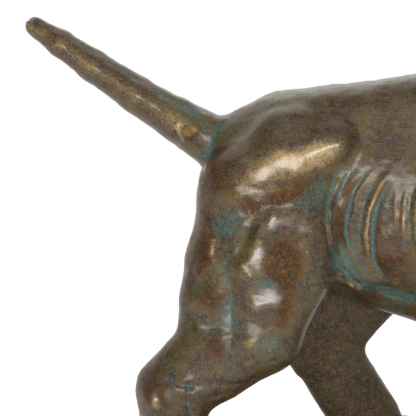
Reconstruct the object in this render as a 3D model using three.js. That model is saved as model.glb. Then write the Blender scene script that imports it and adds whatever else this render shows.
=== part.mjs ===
// A cast bronze hound in a low stalking stride, tail held out stiffly, on a low bronze plinth.
// Millimetres, +Z up, the head towards +X and the hound's right side towards -Y.
// The origin is the centre of the plinth's underside.
import * as THREE from "three";
import { edgeTable, triTable } from "three/addons/objects/MarchingCubes.js";

// Driving dimensions
const houndHeight = 294; // sole to the top of the loin
const plinthHeight = 22;
const plinthMargin = 26; // plinth beyond the paws, at the ends and at the sides
const plinthCornerRadius = 34;
const plinthChamfer = 5;
const seatGap = 0.3; // the soles stand this far above the plinth's top

// The figure is drawn at a height of 294 mm, and every place and radius below is a share of it
const drawnHeight = 294;
const share = houndHeight / drawnHeight;
const footing = { back: -199, front: 274, side: 76 }; // the ground that the paws cover
const gridStep = 3 * share;
const houndTriangles = 9000;

// Forms are signed distances: a list of pieces, each added to or cut from what stands before it
const forms = [];

function smoothMin(a, b, blend) {
  const h = Math.max(blend - Math.abs(a - b), 0) / blend;
  return Math.min(a, b) - h * h * blend * 0.25;
}

function form(distance, low, high, blend, sign) {
  forms.push({ distance, low, high, blend, sign });
}

// Distance to a tapered limb between two balls; wide under 1 flattens it along Y
function limb([ax, ay, az, ra], [bx, by, bz, rb], wide) {
  const dx = bx - ax;
  const dy = (by - ay) / wide;
  const dz = bz - az;
  const length = Math.hypot(dx, dy, dz);
  const taper = (ra - rb) / Math.sqrt(Math.max(length * length - (ra - rb) ** 2, 1e-6));
  return (x, y, z) => {
    const px = x - ax;
    const py = (y - ay) / wide;
    const pz = z - az;
    const along = (px * dx + py * dy + pz * dz) / length;
    const across = Math.sqrt(Math.max(px * px + py * py + pz * pz - along * along, 0));
    const t = Math.min(Math.max((along - across * taper) / length, 0), 1);
    const qx = px - t * dx;
    const qy = py - t * dy;
    const qz = pz - t * dz;
    const far = Math.hypot(qx, qy, qz) + 1e-9;
    const slope = Math.hypot(qx, qy / wide, qz) / far;
    return (far - ra - t * (rb - ra)) / slope;
  };
}

// One form through balls [x, y, z, radius]; wide is one number, or one for each ball
function chain(balls, { blend = 9, wide = 1, join = 3, sign = 1, relief = null } = {}) {
  const widths = balls.map((_, i) => (Array.isArray(wide) ? wide[i] : wide));
  const limbs = balls.slice(1).map((ball, i) => limb(balls[i], ball, (widths[i] + widths[i + 1]) / 2));
  const distance = (x, y, z) => {
    const d = limbs.reduce((least, each) => smoothMin(least, each(x, y, z), join), 1e3);
    return relief ? d + relief(x, y, z) : d;
  };
  const edge = (way) => (axis) => {
    const reaches = balls.map((ball, i) => ball[axis] + way * ball[3] * (axis === 1 ? widths[i] : 1));
    return way * Math.max(...reaches.map((v) => way * v));
  };
  form(distance, [0, 1, 2].map(edge(-1)), [0, 1, 2].map(edge(1)), blend, sign);
}

// An egg-shaped form; pitch tips its long axis nose-down about Y, in degrees
function egg(centre, radii, { blend = 9, pitch = 0, sign = 1 } = {}) {
  const [cx, cy, cz] = centre;
  const [rx, ry, rz] = radii;
  const c = Math.cos(THREE.MathUtils.degToRad(pitch));
  const s = Math.sin(THREE.MathUtils.degToRad(pitch));
  const distance = (x, y, z) => {
    const px = ((x - cx) * c - (z - cz) * s) / rx;
    const py = (y - cy) / ry;
    const pz = ((x - cx) * s + (z - cz) * c) / rz;
    const k0 = Math.hypot(px, py, pz);
    const k1 = Math.hypot(px / rx, py / ry, pz / rz) + 1e-9;
    return (k0 * (k0 - 1)) / k1;
  };
  const reach = Math.max(rx, rz);
  form(distance, [cx - reach, cy - ry, cz - reach], [cx + reach, cy + ry, cz + reach], blend, sign);
}

function bothSides(build) {
  for (const side of [-1, 1]) build(side);
}

// Trunk: pelvis, loin, barrel and fore chest as [x, y, z, half depth], with width over depth
const trunk = {
  balls: [
    [-119, 0, 242, 36],
    [-92, 0, 231, 56],
    [-55, 0, 221, 71],
    [-5, 0, 214.5, 83.5],
    [50, 0, 206, 95],
    [110, 0, 208, 96],
    [158, 0, 215, 88],
    [196, 0, 216, 46],
  ],
  wide: [0.9, 0.64, 0.44, 0.5, 0.54, 0.57, 0.59, 0.8],
};

// Ribs and loose skin: shallow grooves, each bowed like a bracket, that fade towards belly and back
const ribs = { first: -71, last: 96, spacing: 17, bow: 0.0119, middle: 200, depth: 1.7 };

function ribRelief(x, y, z) {
  const bowed = x - ribs.bow * Math.min(Math.max(z - ribs.middle, -70), 70) ** 2;
  if (bowed < ribs.first - ribs.spacing / 2 || bowed > ribs.last || Math.abs(y) < 14) return 0;
  const groove = Math.cos((Math.PI * (bowed - ribs.first)) / ribs.spacing) ** 6;
  const side = Math.min(Math.max((Math.abs(y) - 14) / 18, 0), 1);
  return ribs.depth * groove * side * (1 - 0.5 * ((bowed - ribs.first) / (ribs.last - ribs.first)));
}

// On each side, as [x, y on the left, z, radius]: the long back muscle, the barrel, which is widest
// low down, and the muscle that slants up over the croup
const backMuscle = [
  [-98, 9, 264, 17],
  [0, 8, 276, 17],
  [100, 8, 283, 17],
  [156, 9, 284, 14],
];
const barrel = [
  [-6, 14, 190, 27],
  [40, 18, 184, 36],
  [120, 18, 186, 38],
];
const croup = [
  [-130, 28, 224, 22],
  [-97, 27, 242, 22],
  [-68, 27, 254, 17],
];

function buildTrunk() {
  chain(trunk.balls, { blend: 16, wide: trunk.wide, join: 8, relief: ribRelief });
  egg([160, 0, 303], [40, 15, 10], { blend: 16 }); // withers
  bothSides((side) => {
    const onSide = (balls) => balls.map(([x, y, z, r]) => [x, y * side, z, r]);
    chain(onSide(backMuscle), { blend: 15 });
    chain(onSide(barrel), { blend: 18, wide: 0.86, relief: ribRelief });
    chain(onSide(croup), { blend: 8 });
    egg([-103, 29 * side, 262], [20, 10, 12], { blend: 10, pitch: -20 }); // point of the hip
    egg([202, 20 * side, 192], [28, 21, 34], { blend: 14 }); // breast
    chain([[-92, 36 * side, 182, 15], [-50, 22 * side, 163, 11]], { blend: 13, wide: 0.5 }); // flank fold
  });
}

// Tail: balls from the root to the blunt tip
const tail = [
  [-134, 0, 244.5, 20],
  [-174.4, 0, 269, 15.4],
  [-203.7, 0, 287, 13.2],
  [-234, 0, 307.2, 11.3],
  [-257.2, 0, 323.2, 9.3],
  [-275, 0, 334.8, 6.8],
];

// Hind legs, as [x, z] or [x, z, radius]; the near one pushes off behind, the far one is drawn up
const hindLegs = [
  {
    side: -1,
    thigh: [[-121, 214, 40], [-119, 168, 43], [-114, 122, 22]],
    seat: [[-130, 222, 15], [-147.5, 173, 21], [-152, 145, 20.5], [-158, 119, 16.5], [-188, 90, 12]],
    front: [[-97, 240, 21], [-90, 196, 26], [-93, 161, 23], [-112, 120, 20]],
    shin: [[-114, 119, 23], [-166, 88, 23.5]],
    calf: [[-135, 126, 23], [-168, 98, 19]],
    hock: [-179, 81, 24],
    fetlock: [-174, 38, 21.5],
    paw: [-158, 44],
  },
  {
    side: 1,
    thigh: [[-118, 214, 42], [-78, 182, 40], [-24, 156, 25]],
    seat: [[-135, 220, 15], [-120, 184, 21], [-88, 144, 23], [-76, 122, 17], [-81, 90, 12.5]],
    front: [[-86, 240, 21], [-50, 200, 26], [-26, 174, 22], [-18, 154, 22]],
    shin: [[-21, 151, 24], [-62, 96, 20]],
    calf: [[-46, 142, 25], [-68, 106, 19]],
    hock: [-62, 87, 25.5],
    fetlock: [-32, 40, 26],
    paw: [-12, 44],
  },
];

function buildHindLeg({ side, thigh, seat, front, shin, calf, hock, fetlock, paw }) {
  const y = 45 * side;
  const placed = (balls, ys) => balls.map(([x, z, r], i) => [x, ys[i] * side, z, r]);
  chain(placed(thigh, [28, 34, 43]), { blend: 12, wide: [0.64, 0.64, 0.76] });
  chain(placed(seat, [22, 34, 40, 45, 45]), { blend: 9, wide: [0.9, 0.85, 0.85, 0.85, 0.9] }); // hamstrings
  chain(placed(front, [30, 36, 40, 43]), { blend: 10, wide: [0.62, 0.72, 0.78, 0.86] });
  chain(placed(shin, [43, 45]), { blend: 9, wide: 0.78 });
  chain(placed(calf, [44, 45]), { blend: 9, wide: 0.68 });
  chain([[hock[0], y, hock[1], hock[2]], [fetlock[0], y, fetlock[1], fetlock[2]]], { blend: 9, wide: 0.8 });
  buildPaw(paw[0], paw[1] * side);
}

// Forelegs, as [x, z]; the near one reaches forward, the far one is passing back under the chest
const forelegs = [
  { side: -1, shoulder: [204, 190], elbow: [168, 140], wrist: [203, 70], fetlock: [213, 38], paw: [228, 44] },
  { side: 1, shoulder: [200, 190], elbow: [158, 138], wrist: [140, 72], fetlock: [130, 39], paw: [143, 44] },
];

function buildForeleg({ side, shoulder, elbow, wrist, fetlock, paw }) {
  const y = 45 * side;
  chain(
    [
      [146, 26 * side, 288, 17],
      [170, 40 * side, 244, 30],
      [shoulder[0], 43 * side, shoulder[1], 27],
    ],
    { blend: 10, wide: 0.5 },
  ); // blade
  const elbowTop = [elbow[0] - 2, 49 * side, elbow[1] + 18, 23];
  chain([[142, 42 * side, 232, 32], elbowTop], { blend: 8, wide: 0.46 }); // upper arm
  const elbowBall = [elbow[0], 48 * side, elbow[1], 23];
  chain([[shoulder[0], 45 * side, shoulder[1], 26], elbowBall], { blend: 9, wide: 0.66 });
  egg([elbow[0] - 17, 48 * side, elbow[1] + 4], [11, 10, 13], { blend: 9 }); // point of the elbow
  chain(
    [
      [elbow[0], 48 * side, elbow[1], 25],
      [wrist[0], y, wrist[1] + 14, 19],
    ],
    { blend: 8, wide: 0.82 },
  );
  egg([wrist[0], y, wrist[1]], [21, 18.5, 22], { blend: 8 });
  chain([[wrist[0], y, wrist[1], 19.5], [fetlock[0], y, fetlock[1], 21.5]], { blend: 8, wide: 0.88 });
  buildPaw(paw[0], paw[1] * side);
}

// Paw: a pad with four arched toes and their claws; the soles are cut flat at z = 0
function buildPaw(x, y) {
  egg([x - 5, y, 16], [34, 26, 25], { blend: 9 });
  for (let toe = 0; toe < 4; toe++) {
    const spread = toe - 1.5;
    const reach = x + (Math.abs(spread) < 1 ? 8 : 0);
    const out = y + 13.4 * spread;
    chain(
      [
        [x - 4, y + 10 * spread, 27, 12.5],
        [reach + 11, out, 25, 12],
        [reach + 20, out + 0.5 * spread, 12.5, 11.4],
      ],
      { blend: 3, join: 2 },
    );
    chain([[reach + 27, out + 0.7 * spread, 13, 4.4], [reach + 33, out + spread, 6.5, 3]], { blend: 2 });
  }
}

// Head, in its own axes: u along the muzzle, v sideways, w up; tipped nose-down and drawn to its own size
const head = { x: 256, z: 348, pitch: 8, size: 1.16 };

function headBall([u, v, w, r]) {
  const tip = THREE.MathUtils.degToRad(head.pitch);
  return [
    head.x + head.size * (u * Math.cos(tip) + w * Math.sin(tip)),
    head.size * v,
    head.z + head.size * (w * Math.cos(tip) - u * Math.sin(tip)),
    head.size * r,
  ];
}

function headChain(balls, options) {
  chain(balls.map(headBall), options);
}

function headEgg(centre, radii, { pitch = 0, ...options } = {}) {
  const [x, y, z] = headBall([...centre, 0]);
  egg([x, y, z], radii.map((r) => r * head.size), { ...options, pitch: head.pitch + pitch });
}

function buildNeck() {
  const spine = [
    [140, 0, 250, 62],
    [196, 0, 292, 48],
    [234, 0, 330, 38],
  ];
  chain(spine, { blend: 16, wide: [0.6, 0.7, 0.8], join: 8 });
  chain([[212, 0, 240, 19], [246, 0, 286, 14], [272, 0, 308, 12]], { blend: 12, wide: 0.5 }); // dewlap
}

function buildHead() {
  headChain([[-12, 0, 5, 28], [13, 0, 2, 25]], { blend: 10, wide: 0.98 }); // skull
  headEgg([-36, 0, 9], [12, 8, 9], { blend: 12 }); // back of the skull
  headChain([[14, 0, -6, 22], [44, 0, -6, 20], [72, 0, -8, 19.5]], { blend: 9, wide: 0.84 }); // muzzle
  headChain([[6, 0, -28, 15], [64, 0, -33, 9]], { blend: 6 }); // lower jaw
  headEgg([86, 0, 1], [9, 10.5, 9.5], { blend: 4 }); // nose
  bothSides((side) => {
    headEgg([24, 13.5 * side, 20], [13, 8, 7], { blend: 6, pitch: 10 }); // brow
    headEgg([0, 19 * side, -10], [23, 10, 18], { blend: 10 }); // cheek
    headChain([[20, 14 * side, -20, 14], [46, 13 * side, -26, 15], [74, 9.5 * side, -21, 12]], {
      blend: 4,
      wide: 0.68,
    }); // hanging lip
    headEgg([33, 19 * side, 8], [9, 6.5, 6], { blend: 5, sign: -1 }); // eye socket
    headEgg([32, 15.5 * side, 8], [6.6, 5.6, 5.6], { blend: 1.5 }); // eyeball
    const ear = [
      [-16, 21 * side, 10, 9],
      [-18, 30 * side, -2, 16],
      [-16, 34 * side, -26, 22],
      [-8, 33 * side, -54, 19],
      [1, 30 * side, -72, 10],
    ];
    headChain(ear, { blend: 3, wide: [0.6, 0.4, 0.28, 0.3, 0.5] }); // set low and hanging
  });
}

buildTrunk();
chain(tail, { blend: 7 });
hindLegs.forEach(buildHindLeg);
forelegs.forEach(buildForeleg);
buildNeck();
buildHead();

// Samples the forms on a grid whose planes straddle the soles, and cuts everything below them away
function sampleForms() {
  const margin = 2;
  const low = [Infinity, Infinity, Infinity];
  const high = [-Infinity, -Infinity, -Infinity];
  for (const f of forms)
    for (let a = 0; a < 3; a++) {
      low[a] = Math.min(low[a], f.low[a] * share);
      high[a] = Math.max(high[a], f.high[a] * share);
    }
  low[2] = 0;
  const origin = low.map((v, a) => (a === 2 ? -(margin - 0.5) * gridStep : v - margin * gridStep));
  const count = low.map((_, a) => Math.ceil((high[a] - origin[a]) / gridStep) + margin + 1);
  const values = new Float32Array(count[0] * count[1] * count[2]).fill(1e3);
  for (const f of forms) {
    const reach = (f.blend + 3) * share;
    const step = (place, axis) => (place - origin[axis]) / gridStep;
    const from = f.low.map((v, a) => Math.max(0, Math.floor(step(v * share - reach, a))));
    const to = f.high.map((v, a) => Math.min(count[a] - 1, Math.ceil(step(v * share + reach, a))));
    for (let k = from[2]; k <= to[2]; k++)
      for (let j = from[1]; j <= to[1]; j++)
        for (let i = from[0]; i <= to[0]; i++) {
          const at = i + count[0] * (j + count[1] * k);
          const x = (origin[0] + i * gridStep) / share;
          const y = (origin[1] + j * gridStep) / share;
          const z = (origin[2] + k * gridStep) / share;
          const d = f.distance(x, y, z);
          values[at] = f.sign > 0 ? smoothMin(values[at], d, f.blend) : -smoothMin(-values[at], d, f.blend);
        }
  }
  for (let k = 0; k < count[2]; k++) {
    const below = -(origin[2] + k * gridStep) / share;
    for (let at = count[0] * count[1] * k; at < count[0] * count[1] * (k + 1); at++)
      values[at] = Math.max(values[at], below);
  }
  return { values, origin, count };
}

// Marching cubes with shared vertices
const corners = [
  [0, 0, 0],
  [1, 0, 0],
  [1, 1, 0],
  [0, 1, 0],
  [0, 0, 1],
  [1, 0, 1],
  [1, 1, 1],
  [0, 1, 1],
];
const edges = [
  [0, 1],
  [1, 2],
  [3, 2],
  [0, 3],
  [4, 5],
  [5, 6],
  [7, 6],
  [4, 7],
  [0, 4],
  [1, 5],
  [2, 6],
  [3, 7],
];

function polygonize({ values, origin, count }) {
  const positions = [];
  const triangles = [];
  const known = new Map();
  const index = (i, j, k) => i + count[0] * (j + count[1] * k);
  for (let k = 0; k < count[2] - 1; k++)
    for (let j = 0; j < count[1] - 1; j++)
      for (let i = 0; i < count[0] - 1; i++) {
        let kind = 0;
        corners.forEach(([a, b, c], bit) => {
          if (values[index(i + a, j + b, k + c)] > 0) kind |= 1 << bit;
        });
        if (!edgeTable[kind]) continue;
        const vertexOn = (edge) => {
          const [a, b] = edges[edge].map((n) => corners[n]);
          const start = index(i + a[0], j + a[1], k + a[2]);
          const axis = a.findIndex((v, n) => v !== b[n]);
          const key = start * 3 + axis;
          if (!known.has(key)) {
            const va = values[start];
            const vb = values[index(i + b[0], j + b[1], k + b[2])];
            const cell = [i + a[0], j + a[1], k + a[2]];
            cell[axis] += Math.min(Math.max(va / (va - vb), 0.04), 0.96);
            known.set(key, positions.length);
            positions.push(cell.map((v, n) => origin[n] + v * gridStep));
          }
          return known.get(key);
        };
        for (let n = kind * 16; triTable[n] !== -1; n += 3)
          triangles.push([vertexOn(triTable[n]), vertexOn(triTable[n + 1]), vertexOn(triTable[n + 2])]);
      }
  return { positions, triangles };
}

// A heap that gives back the cheapest item first
function cheapestFirst() {
  const heap = [];
  const push = (item) => {
    let i = heap.push(item) - 1;
    while (i > 0) {
      const up = (i - 1) >> 1;
      if (heap[up].cost <= item.cost) break;
      heap[i] = heap[up];
      i = up;
    }
    heap[i] = item;
  };
  const pop = () => {
    const top = heap[0];
    const last = heap.pop();
    if (!heap.length) return top;
    let i = 0;
    for (;;) {
      let down = 2 * i + 1;
      if (down >= heap.length) break;
      if (down + 1 < heap.length && heap[down + 1].cost < heap[down].cost) down++;
      if (heap[down].cost >= last.cost) break;
      heap[i] = heap[down];
      i = down;
    }
    heap[i] = last;
    return top;
  };
  return { heap, push, pop };
}

// Joins vertices across short, flat edges until the mesh is as light as asked (quadric edge collapse)
function lighten({ positions, triangles }, target) {
  const quadrics = positions.map(() => new Float64Array(10));
  const around = positions.map(() => new Set());
  const version = new Int32Array(positions.length);
  const { heap, push, pop } = cheapestFirst();
  const normalOf = (t, moved, place) => {
    const [a, b, c] = t.map((v) => (moved.includes(v) ? place : positions[v]));
    const ux = b[0] - a[0];
    const uy = b[1] - a[1];
    const uz = b[2] - a[2];
    const vx = c[0] - a[0];
    const vy = c[1] - a[1];
    const vz = c[2] - a[2];
    return [uy * vz - uz * vy, uz * vx - ux * vz, ux * vy - uy * vx];
  };
  triangles.forEach((t, n) => {
    const m = normalOf(t, [], null);
    const area = Math.hypot(...m) + 1e-12;
    const [x, y, z] = m.map((v) => v / area);
    const p = positions[t[0]];
    const d = -(x * p[0] + y * p[1] + z * p[2]);
    const q = [x * x, x * y, x * z, x * d, y * y, y * z, y * d, z * z, z * d, d * d];
    for (const v of t) {
      around[v].add(n);
      for (let i = 0; i < 10; i++) quadrics[v][i] += q[i] * area;
    }
  });
  const propose = (a, b) => {
    const p = positions[a];
    const r = positions[b];
    const q = quadrics[a].map((v, i) => v + quadrics[b][i]);
    const middle = p.map((v, i) => (v + r[i]) / 2);
    const hold = 1e-3 * (q[0] + q[4] + q[7]) + 1e-9;
    const m = new THREE.Matrix3();
    m.set(q[0] + hold, q[1], q[2], q[1], q[4] + hold, q[5], q[2], q[5], q[7] + hold);
    const right = [q[3], q[6], q[8]].map((v, i) => hold * middle[i] - v);
    const best = new THREE.Vector3(...right).applyMatrix3(m.invert()).toArray();
    const long = Math.hypot(...p.map((v, i) => v - r[i]));
    const away = Math.hypot(...best.map((v, i) => v - middle[i]));
    const place = best.every(Number.isFinite) && away < long ? best : middle;
    const [x, y, z] = place;
    const squares = q[0] * x * x + q[4] * y * y + q[7] * z * z + q[9];
    const products = q[1] * x * y + q[2] * x * z + q[5] * y * z + q[3] * x + q[6] * y + q[8] * z;
    push({ cost: squares + 2 * products + 2e-4 * long ** 4, a, b, place, seen: [version[a], version[b]] });
  };
  triangles.forEach((t) => {
    for (let i = 0; i < 3; i++) if (t[i] < t[(i + 1) % 3]) propose(t[i], t[(i + 1) % 3]);
  });
  const ring = (v) => {
    const found = new Set();
    for (const n of around[v]) for (const w of triangles[n]) if (w !== v) found.add(w);
    return found;
  };
  let left = triangles.length;
  while (left > target && heap.length) {
    const { a, b, place, seen } = pop();
    if (version[a] !== seen[0] || version[b] !== seen[1]) continue;
    const ringB = ring(b);
    if ([...ring(a)].filter((v) => ringB.has(v)).length !== 2) continue;
    const shared = (n) => triangles[n].includes(a) && triangles[n].includes(b);
    const kept = [...around[a], ...around[b]].filter((n) => !shared(n));
    const folds = kept.some((n) => {
      const old = normalOf(triangles[n], [], null);
      const now = normalOf(triangles[n], [a, b], place);
      const dot = old[0] * now[0] + old[1] * now[1] + old[2] * now[2];
      return dot < 0.3 * Math.hypot(...old) * Math.hypot(...now);
    });
    if (folds) continue;
    for (const n of around[b]) {
      const t = triangles[n];
      if (t.includes(a)) {
        for (const v of t) if (v !== b) around[v].delete(n);
        triangles[n] = null;
        left--;
      } else {
        triangles[n] = t.map((v) => (v === b ? a : v));
        around[a].add(n);
      }
    }
    around[b].clear();
    positions[a] = place;
    for (let i = 0; i < 10; i++) quadrics[a][i] += quadrics[b][i];
    version[a]++;
    version[b]++;
    for (const v of ring(a)) propose(Math.min(a, v), Math.max(a, v));
  }
  return triangles.filter(Boolean);
}

function houndGeometry() {
  const mesh = polygonize(sampleForms());
  const triangles = lighten(mesh, houndTriangles);
  const flat = new Float32Array(triangles.length * 9);
  triangles.forEach((t, n) => {
    t.forEach((v, i) => {
      const [x, y, z] = mesh.positions[v];
      flat.set([x, y, Math.max(z, 0)], n * 9 + i * 3);
    });
  });
  const geometry = new THREE.BufferGeometry();
  geometry.setAttribute("position", new THREE.BufferAttribute(flat, 3));
  geometry.computeVertexNormals();
  return geometry;
}

// Plinth: a slab with round corners and a small chamfer above and below
function plinthGeometry() {
  const long = ((footing.front - footing.back) * share) / 2 + plinthMargin - plinthChamfer;
  const wide = footing.side * share + plinthMargin / 2 - plinthChamfer;
  const round = plinthCornerRadius - plinthChamfer;
  const outline = new THREE.Shape();
  outline.absarc(long - round, round - wide, round, -Math.PI / 2, 0);
  outline.absarc(long - round, wide - round, round, 0, Math.PI / 2);
  outline.absarc(round - long, wide - round, round, Math.PI / 2, Math.PI);
  outline.absarc(round - long, round - wide, round, Math.PI, Math.PI * 1.5);
  const geometry = new THREE.ExtrudeGeometry(outline, {
    depth: plinthHeight - 2 * plinthChamfer,
    bevelEnabled: true,
    bevelThickness: plinthChamfer,
    bevelSize: plinthChamfer,
    bevelSegments: 2,
    curveSegments: 8,
  });
  geometry.translate(0, 0, plinthChamfer);
  return geometry;
}

const bronze = new THREE.MeshStandardMaterial({ color: 0x5a4a34, roughness: 0.38, metalness: 0.9 });

const hound = new THREE.Mesh(houndGeometry(), bronze);
hound.name = "hound";
hound.position.x = (-(footing.front + footing.back) / 2) * share;
hound.position.z = plinthHeight + seatGap;

const plinth = new THREE.Mesh(plinthGeometry(), bronze.clone());
plinth.name = "plinth";

const sculpture = new THREE.Group();
sculpture.add(hound, plinth);

export default sculpture;
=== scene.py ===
import math
import bpy
import numpy as np
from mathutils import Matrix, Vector


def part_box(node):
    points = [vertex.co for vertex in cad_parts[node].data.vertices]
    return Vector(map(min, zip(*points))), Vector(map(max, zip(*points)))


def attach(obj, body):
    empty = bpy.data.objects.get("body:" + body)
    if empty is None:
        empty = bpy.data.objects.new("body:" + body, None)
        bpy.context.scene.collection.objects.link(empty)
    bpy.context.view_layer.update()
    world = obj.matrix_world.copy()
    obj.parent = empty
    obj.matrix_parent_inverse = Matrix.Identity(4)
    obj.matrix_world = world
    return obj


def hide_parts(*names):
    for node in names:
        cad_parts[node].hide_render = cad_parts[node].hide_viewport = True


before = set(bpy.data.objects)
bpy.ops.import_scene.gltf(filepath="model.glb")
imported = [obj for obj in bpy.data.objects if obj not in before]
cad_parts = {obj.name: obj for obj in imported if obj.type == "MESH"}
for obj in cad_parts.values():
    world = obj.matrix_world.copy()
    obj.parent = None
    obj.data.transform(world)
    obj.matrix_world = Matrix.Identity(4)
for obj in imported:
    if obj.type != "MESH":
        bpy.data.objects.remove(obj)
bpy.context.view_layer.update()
mm = 0.001  # the figure is drawn in millimetres, sole at z = 0, head towards +X, right side towards -Y

houndLow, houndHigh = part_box("hound")
plinthLow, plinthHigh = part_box("plinth")
drawn = {"tailTip": -281.8, "crown": 388.2}  # the ends of the drawn figure that the frame's box gives back
share = (houndHigh.z - houndLow.z) / mm / drawn["crown"]
standing = np.array([houndLow.x / mm - drawn["tailTip"] * share, 0.0, houndLow.z / mm])


# Signed distances: the figure is a list of forms, each added to or cut from what stands before it
forms = []
farAway = 1e3  # a distance, in mm, that no form reaches
outskirts = 3  # mm past a form and its blend that still feel it


def smoothMin(a, b, blend):
    h = np.maximum(blend - np.abs(a - b), 0) / blend
    return np.minimum(a, b) - h * h * blend * 0.25


def joined(value, d, form):  # a form added to what stands before it, or cut from it
    return form["sign"] * smoothMin(form["sign"] * value, d, form["blend"])


def limbDistance(x, y, z, start, end, wide):  # a tapered limb between two balls, flattened along Y
    dx, dy, dz = end[0] - start[0], (end[1] - start[1]) / wide, end[2] - start[2]
    length = math.sqrt(dx * dx + dy * dy + dz * dz)
    thin = start[3] - end[3]
    taper = thin / math.sqrt(max(length * length - thin * thin, 1e-6))
    px, py, pz = x - start[0], (y - start[1]) / wide, z - start[2]
    along = (px * dx + py * dy + pz * dz) / length
    across = np.sqrt(np.maximum(px * px + py * py + pz * pz - along * along, 0))
    t = np.clip((along - across * taper) / length, 0, 1)
    qx, qy, qz = px - t * dx, py - t * dy, pz - t * dz
    far = np.sqrt(qx * qx + qy * qy + qz * qz) + 1e-9
    slope = np.sqrt(qx * qx + (qy / wide) ** 2 + qz * qz) / far
    return (far - start[3] + t * thin) / slope


def addForm(distance, low, high, blend, sign):
    forms.append({"distance": distance, "low": low, "high": high, "blend": blend, "sign": sign})


def chain(balls, blend=9, wide=1.0, join=3, sign=1):  # one form through balls (x, y, z, radius)
    balls = np.array(balls, float)
    widths = np.full(len(balls), wide) if np.isscalar(wide) else np.array(wide, float)

    def distance(x, y, z):
        least = farAway
        for i in range(len(balls) - 1):
            each = limbDistance(x, y, z, balls[i], balls[i + 1], (widths[i] + widths[i + 1]) / 2)
            least = smoothMin(least, each, join)
        return least

    reach = balls[:, 3:] * np.stack([np.ones_like(widths), widths, np.ones_like(widths)], 1)
    addForm(distance, (balls[:, :3] - reach).min(0), (balls[:, :3] + reach).max(0), blend, sign)


def egg(centre, radii, blend=9, pitch=0.0, sign=1):  # pitch tips the long axis nose-down, in degrees
    cx, cy, cz = centre
    rx, ry, rz = radii
    c, s = math.cos(math.radians(pitch)), math.sin(math.radians(pitch))

    def distance(x, y, z):
        px, py, pz = ((x - cx) * c - (z - cz) * s) / rx, (y - cy) / ry, ((x - cx) * s + (z - cz) * c) / rz
        k0 = np.sqrt(px * px + py * py + pz * pz)
        k1 = np.sqrt((px / rx) ** 2 + (py / ry) ** 2 + (pz / rz) ** 2) + 1e-9
        return k0 * (k0 - 1) / k1

    reach = np.array([max(rx, rz), ry, max(rx, rz)])
    addForm(distance, np.array(centre) - reach, np.array(centre) + reach, blend, sign)


# Trunk and tail
trunk = {
    "balls": [[-119, 0, 242, 36], [-92, 0, 231, 56], [-55, 0, 221, 71], [-5, 0, 214.5, 83.5],
              [50, 0, 206, 95], [110, 0, 208, 96], [158, 0, 215, 88], [196, 0, 216, 46]],
    "wide": [0.9, 0.64, 0.44, 0.5, 0.54, 0.57, 0.59, 0.8],
}
tail = [[-134, 0, 244.5, 20], [-174.4, 0, 269, 15.4], [-203.7, 0, 287, 13.2], [-234, 0, 307.2, 11.3],
        [-257.2, 0, 323.2, 9.3], [-275, 0, 334.8, 6.8]]


def buildTrunk():
    chain(trunk["balls"], blend=16, wide=trunk["wide"], join=8)
    egg([160, 0, 303], [40, 15, 10], blend=16)  # withers
    for side in (-1, 1):
        chain([[-98, 9 * side, 264, 17], [0, 8 * side, 276, 17], [100, 8 * side, 283, 17],
               [156, 9 * side, 284, 14]], blend=15)  # long back muscle
        chain([[-6, 14 * side, 190, 27], [40, 18 * side, 184, 36], [120, 18 * side, 186, 38]], blend=18,
              wide=0.86)  # the barrel, widest low down
        chain([[-130, 28 * side, 224, 22], [-97, 27 * side, 242, 22], [-68, 27 * side, 254, 17]],
              blend=8)  # the croup's slanting muscle
        egg([-103, 29 * side, 262], [20, 10, 12], blend=10, pitch=-20)  # point of the hip
        egg([202, 20 * side, 192], [28, 21, 34], blend=14)  # breast
        chain([[-92, 36 * side, 182, 15], [-50, 22 * side, 163, 11]], blend=13, wide=0.5)  # flank fold


# Hind legs as (x, z) or (x, z, radius); the near one pushes off behind, the far one is drawn up
hindLegs = [
    {
        "side": -1,
        "thigh": [[-121, 214, 40], [-119, 168, 43], [-114, 122, 22]],
        "seat": [[-130, 222, 15], [-147.5, 173, 21], [-152, 145, 20.5], [-158, 119, 16.5], [-188, 90, 12]],
        "front": [[-97, 240, 21], [-90, 196, 26], [-93, 161, 23], [-112, 120, 20]],
        "shin": [[-114, 119, 23], [-166, 88, 23.5]],
        "calf": [[-135, 126, 23], [-168, 98, 19]],
        "hock": [-179, 81, 24],
        "fetlock": [-174, 38, 21.5],
        "paw": [-158, 44],
    },
    {
        "side": 1,
        "thigh": [[-118, 214, 42], [-78, 182, 40], [-24, 156, 25]],
        "seat": [[-135, 220, 15], [-120, 184, 21], [-88, 144, 23], [-76, 122, 17], [-81, 90, 12.5]],
        "front": [[-86, 240, 21], [-50, 200, 26], [-26, 174, 22], [-18, 154, 22]],
        "shin": [[-21, 151, 24], [-62, 96, 20]],
        "calf": [[-46, 142, 25], [-68, 106, 19]],
        "hock": [-62, 87, 25.5],
        "fetlock": [-32, 40, 26],
        "paw": [-12, 44],
    },
]


def buildHindLeg(leg):
    side, y = leg["side"], 45 * leg["side"]

    def placed(name, ys):
        return [[x, ys[i] * side, z, r] for i, (x, z, r) in enumerate(leg[name])]

    chain(placed("thigh", [28, 34, 43]), blend=12, wide=[0.64, 0.64, 0.76])
    chain(placed("seat", [22, 34, 40, 45, 45]), wide=[0.9, 0.85, 0.85, 0.85, 0.9])  # hamstrings
    chain(placed("front", [30, 36, 40, 43]), blend=10, wide=[0.62, 0.72, 0.78, 0.86])
    chain(placed("shin", [43, 45]), wide=0.78)
    chain(placed("calf", [44, 45]), wide=0.68)
    (hx, hz, hr), (fx, fz, fr) = leg["hock"], leg["fetlock"]
    chain([[hx, y, hz, hr], [fx, y, fz, fr]], wide=0.8)
    buildPaw(leg["paw"][0], leg["paw"][1] * side)


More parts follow.
